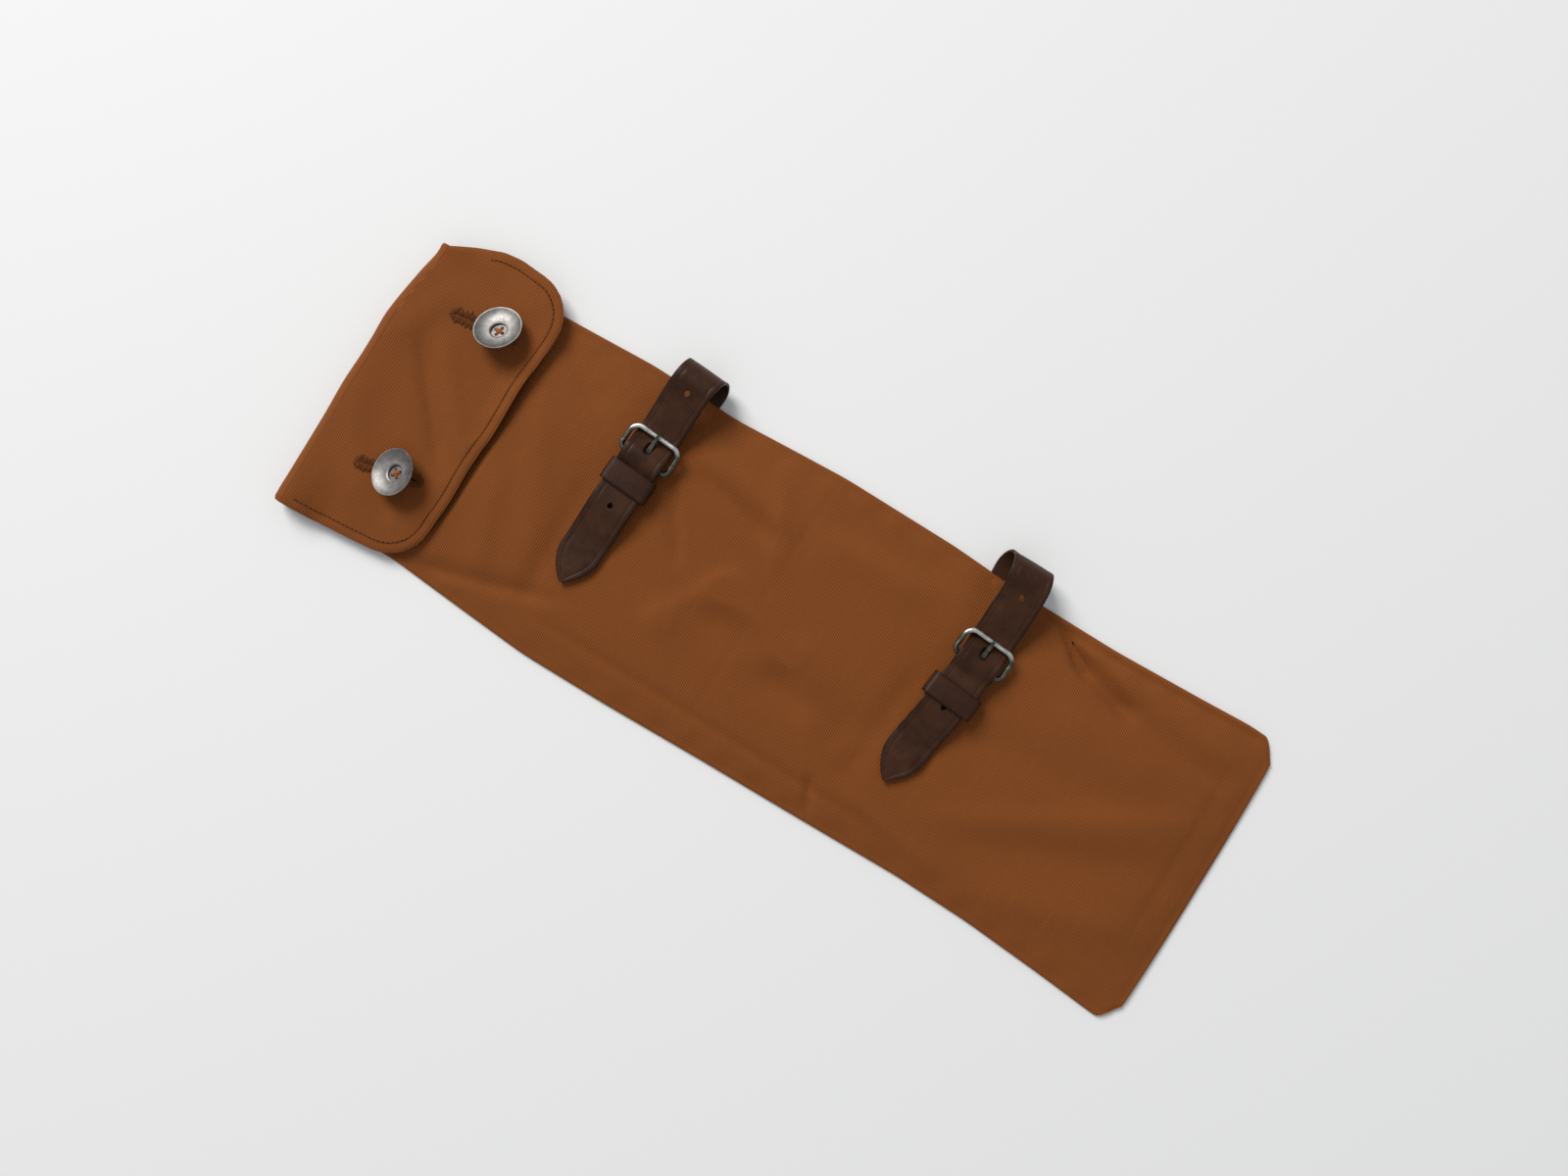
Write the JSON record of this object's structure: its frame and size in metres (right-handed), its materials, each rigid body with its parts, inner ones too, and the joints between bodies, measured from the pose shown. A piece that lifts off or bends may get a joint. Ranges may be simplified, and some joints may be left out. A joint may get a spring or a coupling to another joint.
{
  "type": "brush case",
  "caption": "Long flat canvas brush case with a buttoned flap at one end and two buckled leather straps that stand out in loops on one side.",
  "frame": {"origin": "middle of the pouch's length and width on its back face, the surface it lies on", "axes": "+X from the flap's fold to the bottom seam, +Y to the edge with the strap loops, +Z out of the front"},
  "size_m": [0.41, 0.1456, 0.0195],
  "materials": {
    "canvas": "fine-woven cotton canvas, orange-brown, matt",
    "canvas_thread": "matching brown cotton sewing thread",
    "leather_thread": "waxed dark brown thread",
    "strap_leather": "smooth dark brown strap leather with burnished edges",
    "button_metal": "dull dished sheet metal with a bright rim",
    "buckle_metal": "aged nickel-plated wire, worn bright on the front bar"
  },
  "bodies": {
    "case": {"back_panel": "canvas", "front_panel": "canvas", "flap_fold_strip": "canvas", "button_thread_shank_1": "canvas_thread", "strap_anchor_1": "strap_leather", "strap_anchor_stitching_1": "leather_thread", "chape_1": "strap_leather", "chape_stitching_1": "leather_thread", "button_thread_shank_2": "canvas_thread", "strap_anchor_2": "strap_leather", "strap_anchor_stitching_2": "leather_thread", "chape_2": "strap_leather", "chape_stitching_2": "leather_thread"},
    "flap": {"flap_outer": "canvas", "flap_lining": "canvas", "flap_topstitching": "canvas_thread", "buttonhole_stitching_1": "canvas_thread", "buttonhole_stitching_2": "canvas_thread"},
    "button_1": {"button_disc_1": "button_metal", "button_thread_cross_1": "canvas_thread"},
    "strap_1": {"strap_billet_1": "strap_leather"},
    "buckle_1": {"buckle_frame_1": "buckle_metal"},
    "tongue_1": {"buckle_tongue_1": "buckle_metal"},
    "keeper_1": {"keeper_loop_1": "strap_leather"},
    "button_2": {"button_disc_2": "button_metal", "button_thread_cross_2": "canvas_thread"},
    "strap_2": {"strap_billet_2": "strap_leather"},
    "buckle_2": {"buckle_frame_2": "buckle_metal"},
    "tongue_2": {"buckle_tongue_2": "buckle_metal"},
    "keeper_2": {"keeper_loop_2": "strap_leather"}
  },
  "joints": [
    {"name": "flap_fold", "type": "hinge", "parent": "case", "child": "flap", "pos_m": [-0.203, 0, 0.005], "axis": [0, -1, 0], "range_deg": [0, 170], "deforming": ["flap_fold_strip"]},
    {"name": "button_1_tilt", "type": "hinge", "parent": "case", "child": "button_1", "pos_m": [-0.15885, 0.04213, 0.0108], "axis": [-0.769, -0.6392, 0], "range_deg": [-50, 1]},
    {"name": "button_2_tilt", "type": "hinge", "parent": "case", "child": "button_2", "pos_m": [-0.16403, -0.02825, 0.0108], "axis": [0, -1, 0], "range_deg": [-50, 1]},
    {"name": "strap_1_open", "type": "hinge", "parent": "case", "child": "strap_1", "pos_m": [-0.0798, 0.07422, 0.01], "axis": [-0.9981, 0.061, 0], "range_deg": [0, 165]},
    {"name": "buckle_1_pivot", "type": "hinge", "parent": "case", "child": "buckle_1", "pos_m": [-0.0826, 0.0285, 0.0115], "axis": [0.9981, -0.061, 0], "range_deg": [0, 90.1]},
    {"name": "tongue_1_lift", "type": "hinge", "parent": "buckle_1", "child": "tongue_1", "pos_m": [-0.0826, 0.0285, 0.0115], "axis": [0.9981, -0.061, 0], "range_deg": [0, 12.1]},
    {"name": "keeper_1_slide", "type": "slide", "parent": "case", "child": "keeper_1", "axis": [-0.061, -0.9981, 0], "range_m": [0, 0.0065]},
    {"name": "strap_2_open", "type": "hinge", "parent": "case", "child": "strap_2", "pos_m": [0.0765, 0.0766, 0.01], "axis": [-1, 0, 0], "range_deg": [0, 165]},
    {"name": "buckle_2_pivot", "type": "hinge", "parent": "case", "child": "buckle_2", "pos_m": [0.0765, 0.0285, 0.0115], "axis": [0.9969, -0.0785, 0], "range_deg": [0, 90.1]},
    {"name": "tongue_2_lift", "type": "hinge", "parent": "buckle_2", "child": "tongue_2", "pos_m": [0.0765, 0.0285, 0.0115], "axis": [0.9969, -0.0785, 0], "range_deg": [0, 12.1]},
    {"name": "keeper_2_slide", "type": "slide", "parent": "case", "child": "keeper_2", "axis": [-0.0785, -0.9969, 0], "range_m": [-0.0045, 0]}
  ],
  "couplings": [
    {"joint": "buckle_1_pivot", "follows": "strap_1_open", "ratio": 0.54546},
    {"joint": "tongue_1_lift", "follows": "strap_1_open", "ratio": 0.072727},
    {"joint": "buckle_2_pivot", "follows": "strap_2_open", "ratio": 0.54546},
    {"joint": "tongue_2_lift", "follows": "strap_2_open", "ratio": 0.072727}
  ]
}
